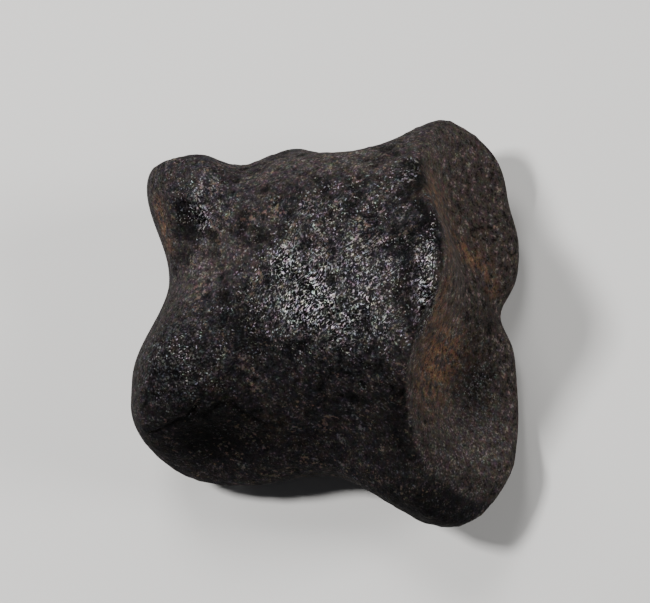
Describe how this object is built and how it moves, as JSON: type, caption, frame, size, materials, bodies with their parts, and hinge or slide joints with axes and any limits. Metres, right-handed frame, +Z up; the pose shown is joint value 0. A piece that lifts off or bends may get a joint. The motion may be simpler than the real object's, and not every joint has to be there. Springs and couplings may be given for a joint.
{
  "type": "fossil horse toe bone",
  "caption": "Fossil middle toe bone of a horse, dark and river-stained, lying palmar side down, life size.",
  "frame": {"origin": "centre of the bounding box on the surface the bone lies on", "axes": "+X towards the proximal end, +Y across the bone towards its smaller, outer side, +Z up, towards the dorsal side"},
  "size_m": [0.0492, 0.0524, 0.0305],
  "materials": {
    "fossil_bone": "satin"
  },
  "bodies": {
    "root": {"middle_phalanx": "fossil_bone"}
  },
  "joints": []
}
